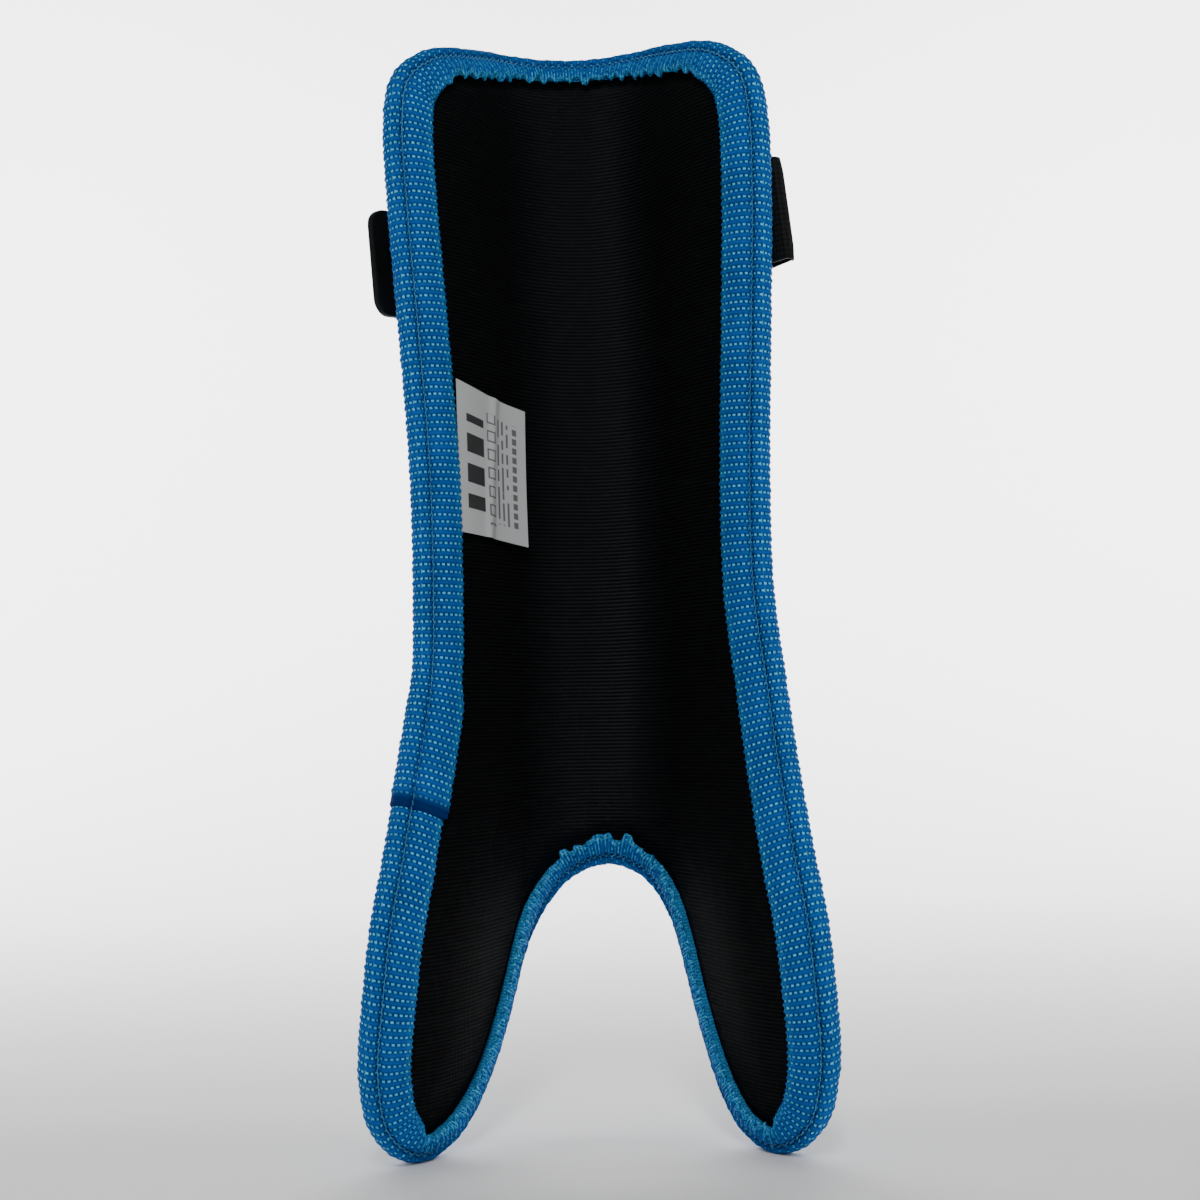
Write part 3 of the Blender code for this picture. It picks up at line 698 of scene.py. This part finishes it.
# ---- Outer cover ----
# Plain woven nylon over the foam's front, under the shell. It swells a little between the seams.
COVER_H, COVER_T, YARN = 6.0, 0.7, 0.62
nylon = Look("black_nylon", Roughness=0.7, Specular_IOR_Level=0.15)
warp, weft = nylon.pattern()
cloth = warp.wave(YARN) * 0.5 + weft.wave(YARN) * 0.5
nylon.wire(Base_Color=cloth.mix((0.002, 0.002, 0.003, 1), (0.009, 0.009, 0.010, 1)))
nylon.bump(cloth, 0.10 * MM, 0.7)
cover, flat = cut_panel("cover_cloth", edge + inwards(edge) * 1.0, 1.5)
away, _ = distance_to(edge, flat)
swell = 0.35 * smooth((away - 5.0) / 9.0) - 1.6 * (1 - smooth((away - 2.0) / 5.0))
set_points(cover, wall(flat[:, 0], flat[:, 1], COVER_H + swell))
set_pattern(cover, flat)
apply_modifier(cover, "SOLIDIFY", thickness=COVER_T * MM, offset=0.0)
tidy_mesh(cover)
dress(cover, nylon)
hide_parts("outer_cover")
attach(cover, "guard")


# ---- Shin shell ----
# A moulded black shell over the shin, with a raised middle, a thin rim and two rows of vents,
# glued to the cover.
SHELL_H, SHELL_T = 8.05, 1.5              # its inside face over the lining, and its thickness
RIDGE, RIDGE_FROM, RIDGE_TO = 1.7, 15.0, 21.0
SHELL_HALF = [
    (0.0, 121.0), (18.0, 120.4), (33.0, 116.5), (40.6, 107.0), (42.0, 92.0), (40.0, 61.0),
    (37.8, 29.0), (37.6, 0.0), (39.0, -20.0), (41.5, -38.0), (42.5, -54.0), (38.0, -66.0),
    (29.0, -68.0), (20.0, -58.0), (10.0, -50.5), (0.0, -48.0),
]


def stadium(s, z, length=13.0, width=3.2):
    """Outline of a vent, a slot with round ends."""
    bend = np.linspace(0, math.pi, 14)
    top_middle = z + (length - width) / 2
    top = np.stack([s + width / 2 * np.cos(bend), top_middle + width / 2 * np.sin(bend)], 1)
    return np.vstack([top, 2 * np.array([s, z]) - top])


grained = Look("grained_shell", Specular_IOR_Level=0.25, Base_Color=(0.008, 0.008, 0.009, 1))
grain_kind = {"feature": "SMOOTH_F1"}
pebbles = grained.start.node("ShaderNodeTexVoronoi", grain_kind, Vector=grained.place(), Scale=1100.0)
grained.wire(Roughness=pebbles * 0.3 + 0.34)
grained.bump(pebbles, 0.12 * MM, 0.6)
shell_edge, _ = closed_curve(both_sides(SHELL_HALF), 500)
vents = [stadium(side * 28.5, z) for side in (-1, 1) for z in (48.0, 24.0, 0.0, -24.0, -48.0)]
shell, flat = cut_panel("shell_moulding", shell_edge, 0.85, vents)
away, _ = distance_to(shell_edge, flat)
raised = RIDGE * (1 - smooth((np.abs(flat[:, 0]) - RIDGE_FROM) / (RIDGE_TO - RIDGE_FROM)))
rim = 0.7 * smooth((away - 0.2) / 0.9) - 0.45 * smooth((away - 2.2) / 1.2)
to_vent = np.minimum.reduce([distance_to(vent, flat)[0] for vent in vents])
lips = 0.35 * (1 - smooth((to_vent - 0.4) / 1.0))
set_points(shell, wall(flat[:, 0], flat[:, 1], SHELL_H + raised + rim + lips))
set_pattern(shell, flat)
apply_modifier(shell, "SOLIDIFY", thickness=SHELL_T * MM, offset=1.0)
tidy_mesh(shell)
dress(shell, grained, 40)
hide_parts("shin_shell")
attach(shell, "guard")


# ---- Ankle plates ----
# Two small domed ovals moulded like the shell, over the ankle bones.
PLATE_S, PLATE_Z, PLATE_HALF, PLATE_H, PLATE_T = 52.5, -84.0, np.array([10.5, 15.0]), 8.5, 1.4
bend = np.linspace(0, 2 * math.pi, 160, endpoint=False)
for side, name in ((-1, "ankle_plate_left"), (1, "ankle_plate_right")):
    middle = np.array([side * PLATE_S, PLATE_Z])
    oval = middle + PLATE_HALF * np.stack([np.sin(bend), np.cos(bend)], 1)
    plate, flat = cut_panel(name.replace("plate", "moulding"), oval, 0.7)
    out = np.sqrt((((flat - middle) / PLATE_HALF) ** 2).sum(1))
    bead = 0.35 * np.exp(-((out - 0.82) / 0.06) ** 2) - 0.5 * smooth((out - 0.93) / 0.07)
    set_points(plate, wall(flat[:, 0], flat[:, 1], PLATE_H + 1.6 * (1 - out ** 2) + bead))
    set_pattern(plate, flat)
    apply_modifier(plate, "SOLIDIFY", thickness=PLATE_T * MM, offset=1.0)
    tidy_mesh(plate)
    dress(plate, grained, 40)
    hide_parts(name)
    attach(plate, "guard")


# ---- Care label ----
# A strip of satin caught under the tape on the left, with a soft crease. Its print is only bars
# and plain shapes.
LABEL_ROOT, LABEL_OUT, LABEL_LOW, LABEL_HIGH = -41.2, 22.2, 14.5, 50.0
satin = Look("satin", Specular_IOR_Level=0.22, Anisotropic=0.4)
out_run, up_run = satin.pattern()


def between(value, low, high):
    """1 between these two distances, 0 outside."""
    return value.step_up(low - 0.1, low + 0.1) * (1 - value.step_up(high - 0.1, high + 0.1))


blocks = between(out_run, 2.8, 8.4) * (up_run.wave(7.2).step_up(0.28, 0.34)) * between(up_run, 6.0, 28.5)
SYMBOL_PITCH, LINE_PITCH = 4.6, 1.5
from_x = (out_run - 10.8).math("ABSOLUTE")
from_y = ((up_run / SYMBOL_PITCH).math("FRACT") * SYMBOL_PITCH - SYMBOL_PITCH / 2).math("ABSOLUTE")
big = between(from_x, -1.0, 1.25) * between(from_y, -1.0, 1.45)
small = between(from_x, -1.0, 0.85) * between(from_y, -1.0, 1.05)
symbols = (big - small).clamped() * between(up_run, 3.0, 31.0)
lines = (out_run - 13.4).wave(LINE_PITCH).step_up(0.55, 0.75) * between(out_run, 12.9, 17.2)
line_number = (out_run / LINE_PITCH).math("ROUND")
words = satin.noise(satin.join(up_run * 0.55, line_number * 7.3), 1.0, 0.0).step_up(0.40, 0.45)
last_line = between(out_run, 18.0, 19.3) * up_run.wave(2.4).step_up(0.2, 0.3)
small_print = (lines * words + last_line).clamped() * between(up_run, 4.0, 30.5)
print_mask = (blocks + symbols * 0.8 + small_print * 0.8).clamped()
satin_grain = satin.noise(satin.join(out_run * 6.0, up_run * 1.2), 2.0)
silver = (satin_grain * 0.5 + 0.25).mix((0.36, 0.37, 0.37, 1), (0.68, 0.70, 0.70, 1))
satin.wire(Base_Color=(print_mask * 0.92).mix(silver, (0.006, 0.006, 0.007, 1)),
           Roughness=0.34 + satin_grain * 0.2)
satin.bump(out_run.wave(0.35) * 0.6 + satin_grain * 0.4, 0.05 * MM, 0.5)
label, place = new_grid("label_satin", 56, 84)
t, v = place[:, 0], place[:, 1]
along_out, height = LABEL_OUT * t, LABEL_LOW + (LABEL_HIGH - LABEL_LOW) * v
lift = 0.55 + 2.2 * t ** 2 + 0.35 * np.sin(2.2 * math.pi * t + 0.8) * t + 0.9 * t * (v - 0.45) ** 2
lift = lift + 0.55 * np.exp(-((t - 0.50 - 0.12 * (v - 0.5)) / 0.06) ** 2)
droop = 2.4 * t + 2.8 * t * v + 0.5 * np.sin(math.pi * t) * (v - 0.5)
set_points(label, wall(LABEL_ROOT - 2.2 + along_out, height - droop, -lift - 0.2))
set_pattern(label, np.stack([along_out, height - LABEL_LOW], 1))
apply_modifier(label, "SOLIDIFY", thickness=0.18 * MM, offset=0.0)
tidy_mesh(label)
dress(label, satin)
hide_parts("care_label")
root, tip = (Vector(wall(s, 32.0, -0.6)) * MM for s in (LABEL_ROOT, LABEL_ROOT + 5.0))
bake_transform(label)


# ---- Strap ----
# One band of 25 mm ribbed elastic. It is sewn to the front on the right, folds back at the edge,
# crosses the ridge and runs down to the left, where it ends in a stiff tab.
FOLD_Z, FOLD_S, HALF_BAND, BAND_T = 88.5, 56.6, 12.54, 1.2
DROP = math.tan(math.radians(4.5))        # how far it runs down for each millimetre to the left
STUB_FROM, STUB_H, LINK_H = 27.0, 9.65, 12.2      # the sewn end, and the heights of both layers
RIDGE_TOP, BAND_CLEAR = 10.4, 0.5
LINKS, EASE = 5, 3.2                      # the band's bends, and how far each is eased to a side
start = wall(FOLD_S, FOLD_Z, LINK_H)[:2]
crest_lean = TOP_LEAN * ((FOLD_Z + 12.5) / HALF_HEIGHT) ** 2 - SHIN_R
crest = np.array([-SIDE_BOW * (FOLD_Z / HALF_HEIGHT) ** 2, crest_lean])
crest_r = SHIN_R + RIDGE_TOP + BAND_CLEAR + BAND_T / 2
reach = start - crest
first = math.atan2(reach[1], reach[0]) + math.acos(crest_r / math.hypot(*reach))
turn = (math.pi - 2 * first) / LINKS
corners = first + turn * (np.arange(LINKS) + 0.5)
over_ridge = crest + crest_r / math.cos(turn / 2) * np.stack([np.cos(corners), np.sin(corners)], 1)
stations = np.vstack([start, over_ridge, [2 * crest[0] - start[0] - 0.6, start[1] - 1.0]])
reached = np.concatenate([[0], np.cumsum(np.linalg.norm(np.diff(stations, axis=0), axis=1))])


def band_plan(a):
    """Plan position on the band's middle at length a from the fold, its corners rounded."""
    spread = np.linspace(-EASE, EASE, 9)
    sample = a[:, None] + spread * np.minimum(1, np.minimum(a, reached[-1] - a) / EASE)[:, None]
    return np.stack([np.interp(sample, reached, stations[:, k]).mean(1) for k in (0, 1)], 1)


def band_mesh(name, path, crosswise, outwards, along_mm):
    """Band whose middle follows path, with a face on either side and rounded edges."""
    half = BAND_T / 2
    faces = [(w, half * min(1.0, 0.45 + 2.0 * (1 - abs(w)))) for w in np.linspace(-1, 1, 33)]
    ring = np.array(faces + [(w, -o) for w, o in reversed(faces)])
    band, place = new_grid(name, len(path) - 1, len(ring))
    column = np.rint(place[:, 0] * (len(path) - 1)).astype(int)
    row = np.rint(place[:, 1] * len(ring)).astype(int) % len(ring)
    w, o = ring[row].T
    across = crosswise[column] * (w * HALF_BAND)[:, None]
    set_points(band, path[column] + across + outwards[column] * o[:, None])
    set_pattern(band, np.stack([along_mm[column], w * HALF_BAND], 1))
    tidy_mesh(band)
    bpy.ops.object.mode_set(mode="EDIT")
    bpy.ops.mesh.select_all(action="SELECT")
    bpy.ops.mesh.region_to_loop()
    bpy.ops.mesh.edge_face_add()
    bpy.ops.mesh.select_all(action="SELECT")
    bpy.ops.mesh.normals_make_consistent(inside=False)
    bpy.ops.object.mode_set(mode="OBJECT")
    return band


elastic = Look("ribbed_elastic", Roughness=0.75, Specular_IOR_Level=0.15)
along_band, across_band = elastic.pattern()
cords = across_band.wave(1.25)
picks = along_band.wave(0.85)
knit_mix = (cords * 0.45 + picks * 0.55).clamped()
elastic.wire(Base_Color=knit_mix.mix((0.001, 0.0013, 0.0013, 1), (0.010, 0.012, 0.012, 1)))
elastic.bump(knit_mix, 0.22 * MM, 0.9)


def link_frames(a):
    """The band's middle, its upright and its outward direction, at lengths a from the fold."""
    plan = band_plan(a)
    ahead, behind = band_plan(np.minimum(a + 0.4, reached[-1])), band_plan(np.maximum(a - 0.4, 0))
    run = (ahead - behind) / np.linalg.norm(ahead - behind, axis=1)[:, None]
    path = np.column_stack([plan, FOLD_Z - DROP * a])
    out = np.column_stack([run[:, 1], -run[:, 0], np.zeros(len(a))])
    return path, np.tile([0.0, 0.0, 1.0], (len(a), 1)), out


# the sewn end and the fold
STUB_STEPS, LINK_STEPS = 60, 40
stub = np.linspace(STUB_FROM, FOLD_S, STUB_STEPS)
bend = np.linspace(0, math.pi, 16)[1:-1]
loop_r, loop_h = (LINK_H - STUB_H) / 2, (LINK_H + STUB_H) / 2
along_s = np.concatenate([stub, FOLD_S + loop_r * np.sin(bend)])
heights = np.concatenate([np.full(STUB_STEPS, STUB_H), loop_h - loop_r * np.cos(bend)])
middle_z = FOLD_Z - np.clip(FOLD_S - along_s, 0, None) * DROP
fold_path = wall(along_s, middle_z, heights)
lean = (wall(along_s, middle_z + 2, heights) - wall(along_s, middle_z - 2, heights)) / 4
run_dir = np.gradient(fold_path, axis=0)
run_dir /= np.linalg.norm(run_dir, axis=1)[:, None]
fold_out = np.cross(run_dir, lean)
fold_out /= np.linalg.norm(fold_out, axis=1)[:, None]
to_link_middle = np.linspace(0, reached[1] / 2, LINK_STEPS)
link_path, link_up, link_out = link_frames(np.linspace(0.05, reached[1] / 2, LINK_STEPS))
near = (1 - smooth(to_link_middle / 9.0))[:, None]
link_up = link_up * (1 - near) + lean[-1] * near
path = np.vstack([fold_path, link_path])
ups = np.vstack([lean, link_up])
outs = np.vstack([fold_out, -link_out])
run = np.concatenate([[0], np.cumsum(np.linalg.norm(np.diff(path, axis=0), axis=1))])
beyond = fold_path[STUB_STEPS - 1] - fold_path[40]
beyond /= np.linalg.norm(beyond)
from_fold = np.concatenate([np.clip(FOLD_S - along_s, 0, None), to_link_middle])
ups = ups - beyond * (0.09 * (1 - smooth(from_fold / 14.0)))[:, None]      # the fold leans
band = band_mesh("elastic_sewn_end", path, ups, outs, run)
dress(band, elastic)
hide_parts("strap_anchor", "strap_link_1")
low_side, high_side = (Vector(wall(FOLD_S - 4, FOLD_Z, h)) * MM for h in (STUB_H + 0.7, LINK_H - 0.7))
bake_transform(band)

# the links over the ridge, and the run down to the tab
middles = (reached[:-1] + reached[1:]) / 2
for k in range(1, LINKS + 1):
    last = k == LINKS
    a = np.linspace(middles[k - 1], reached[k] + 3.5 if last else middles[k], 30)
    band = band_mesh(f"elastic_{k}", *link_frames(a), a + run[-1] - middles[0])
    dress(band, elastic)
    if not last:
        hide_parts(f"strap_link_{k + 1}")
    here = Vector((*stations[k], FOLD_Z - DROP * reached[k])) * MM
    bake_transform(band)


# ---- Black thread ----
# Box seams through the band's sewn end and through the loop patch.
STITCH, SEAM_HALF = 2.5, HALF_BAND - 2.5
SEWN_S = 57.2                             # where the sewn end's slope is measured from
PATCH_Z = FOLD_Z - DROP * (reached[-1] - 16.0)


def box_seam(name, s_range, middle, height):
    """Thread round a box whose middle line is at height middle(s) on the pattern."""
    s_line = np.linspace(*s_range, 40)
    top = np.column_stack([s_line, middle(s_line) + SEAM_HALF])
    bottom = np.column_stack([s_line, middle(s_line) - SEAM_HALF])
    box = np.vstack([top, bottom[::-1], top[:1]])
    run = np.concatenate([[0], np.cumsum(np.linalg.norm(np.diff(box, axis=0), axis=1))])
    even = np.linspace(0, run[-1], round(run[-1] / 0.25), endpoint=False)
    flat = np.stack([np.interp(even, run, box[:, k]) for k in (0, 1)], 1)
    rise = np.cos(2 * math.pi * round(run[-1] / STITCH) * even / run[-1])
    return thread_ring(name, flat, height + 0.28 * rise, inwards(flat), 0.22)


black_thread = Look("black_thread", Roughness=0.6, Specular_IOR_Level=0.2)
strands = black_thread.pattern()[0].wave(0.6)
black_thread.wire(Base_Color=strands.mix((0.004, 0.004, 0.004, 1), (0.03, 0.03, 0.03, 1)))
anchor_seam = box_seam("anchor_seam", (30.0, 39.0), lambda s: FOLD_Z - (SEWN_S - s) * DROP, 10.33)
patch_seam = box_seam("patch_seam", (-40.5, -24.5), lambda s: np.full(len(s), PATCH_Z), 10.12)
for thread, node in ((anchor_seam, "anchor_thread"), (patch_seam, "loop_thread")):
    dress(thread, black_thread, 80)
    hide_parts(node)
    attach(thread, "guard")


# ---- Loop patch ----
# Loop tape sewn to the shell under the tab, a close pile of small soft loops on a woven back.
pile = Look("loop_pile", Roughness=0.85, Specular_IOR_Level=0.1, Sheen_Weight=0.1)
tufts = pile.noise(pile.place(), 2600.0, 3.0)
pile.wire(Base_Color=tufts.mix((0.001, 0.001, 0.001, 1), (0.016, 0.016, 0.017, 1)))
pile.bump(tufts, 0.3 * MM, 1.0)
patch, place = new_grid("loop_pile", 110, 134)
u, v = 2 * place.T - 1
fuzz = 0.10 * np.sin(place[:, 0] * 391.7 + 3 * np.sin(place[:, 1] * 97.3)) * np.sin(place[:, 1] * 431.9)
border = smooth((1 - np.maximum(np.abs(u), np.abs(v))) / 0.06)
PATCH_S, PATCH_HALF, PATCH_H = -32.5, 9.5, 9.45
pile_h = PATCH_H + (0.35 + fuzz) * border
set_points(patch, wall(PATCH_S + PATCH_HALF * u, PATCH_Z + (HALF_BAND - 1.0) * v, pile_h))
apply_modifier(patch, "SOLIDIFY", thickness=0.6 * MM, offset=0.0)
tidy_mesh(patch)
dress(patch, pile)
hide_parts("loop_patch")
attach(patch, "guard")


# ---- Tab ----
# Stiff black plastic-coated webbing with rounded corners, welded over the elastic's end.
TAB_T, TAB_CORNER, TAB_START = 1.6, 4.0, 1.6      # thickness, and the corners' radii at each end
tab_from, tab_length = reached[LINKS], reached[-1] - reached[LINKS]
tab_run = (stations[-1] - stations[LINKS]) / tab_length
tab_out = np.array([tab_run[1], -tab_run[0]])


def on_tab(along, upright, off):
    """Points on the tab, at along from its hinge, upright from its middle and off its faces."""
    along, upright, off = np.broadcast_arrays(along, upright, off)
    along = along + 0.09 * upright * along / tab_length      # its end is square to the sloping band
    plan = stations[LINKS] + along[..., None] * tab_run + off[..., None] * tab_out
    return np.concatenate([plan, (FOLD_Z - DROP * (tab_from + along) + upright)[..., None]], -1)


bend = np.linspace(0, math.pi / 2, 10)
rise, fall = 1 - np.sin(bend), 1 - np.cos(bend)
corner = np.stack([tab_length - TAB_CORNER * rise, HALF_BAND - TAB_CORNER * fall], 1)
start_round = np.stack([0.4 + TAB_START * rise, HALF_BAND - TAB_START * fall], 1)
upper = np.vstack([start_round[::-1], corner])
ends = np.vstack([upper, upper[::-1] * (1, -1)])
dense = np.vstack([np.linspace(p, q, 14, endpoint=False) for p, q in zip(ends, np.roll(ends, -1, 0))])
TAB_BLACK = (0.006, 0.0075, 0.0075, 1)
plastic = Look("matte_tab", Roughness=0.6, Specular_IOR_Level=0.08, Base_Color=TAB_BLACK)
plastic.bump(plastic.noise(plastic.place(), 1500.0), 0.04 * MM, 0.5)
tab, flat = cut_panel("tab_moulding", dense, 0.8)
set_points(tab, on_tab(flat[:, 0], flat[:, 1], 0.25))
apply_modifier(tab, "SOLIDIFY", thickness=(TAB_T + 0.3) * MM, offset=0.0)
tidy_mesh(tab)
apply_modifier(tab, "BEVEL", width=0.35 * MM, segments=3, angle_limit=math.radians(50))
dress(tab, plastic, 40)
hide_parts("strap_tab")
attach(tab, "tab")


# ---- Hook patch ----
# Hook tape sewn to the tab's free face: a backing with rows of small bent hooks.
HOOK_ROWS, HOOKS_UP, HOOK_STEPS, HOOK_SIDES = 17, 13, 6, 4
BACK_H = TAB_T - BAND_T / 2 + 0.45        # the backing's middle, over the band's
hook_black = (0.008, 0.008, 0.008, 1)
hook_look = Look("hook_tape", Roughness=0.5, Specular_IOR_Level=0.25, Base_Color=hook_black)
backing, place = new_grid("hook_backing", 30, 26)
x, y = place.T
set_points(backing, on_tab(11.0 + (tab_length - 15.0) * x, (HALF_BAND - 2.0) * (2 * y - 1), BACK_H))
apply_modifier(backing, "SOLIDIFY", thickness=0.5 * MM, offset=0.0)
tidy_mesh(backing)
spans = HOOK_STEPS * HOOK_ROWS * HOOKS_UP
hooks, place = new_grid("hooks", spans, HOOK_SIDES)
column = np.rint(place[:, 0] * spans).astype(int)
which, ring_step = column // HOOK_STEPS, column % HOOK_STEPS
row_number, number_up = which // HOOKS_UP, which % HOOKS_UP
corner_turn = place[:, 1] * 2 * math.pi
bow = np.array([0.0, 0.0, 0.7, 1.7, 2.6, 2.6])[ring_step]
thick = np.array([0.0, 0.16, 0.14, 0.13, 0.12, 0.0])[ring_step]
facing = np.where(row_number % 2 == 0, 1.0, -1.0)
hook_x = 12.0 + (tab_length - 17.0) * row_number / (HOOK_ROWS - 1) + facing * 0.28 * (1 - np.cos(bow))
hook_z = (HALF_BAND - 3.0) * (2 * number_up / (HOOKS_UP - 1) - 1)
hook_h = BACK_H + 0.2 + 0.45 * np.minimum(ring_step, 2) / 2 + 0.25 * np.sin(bow)
hook_x, hook_z = hook_x + thick * np.cos(corner_turn), hook_z + thick * np.sin(corner_turn)
set_points(hooks, on_tab(hook_x, hook_z, hook_h))
tidy_mesh(hooks)
dress(backing, hook_look)
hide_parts("hook_patch")
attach(backing, "tab")
dress(hooks, hook_look)
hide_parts("hook_patch")
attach(hooks, "tab")
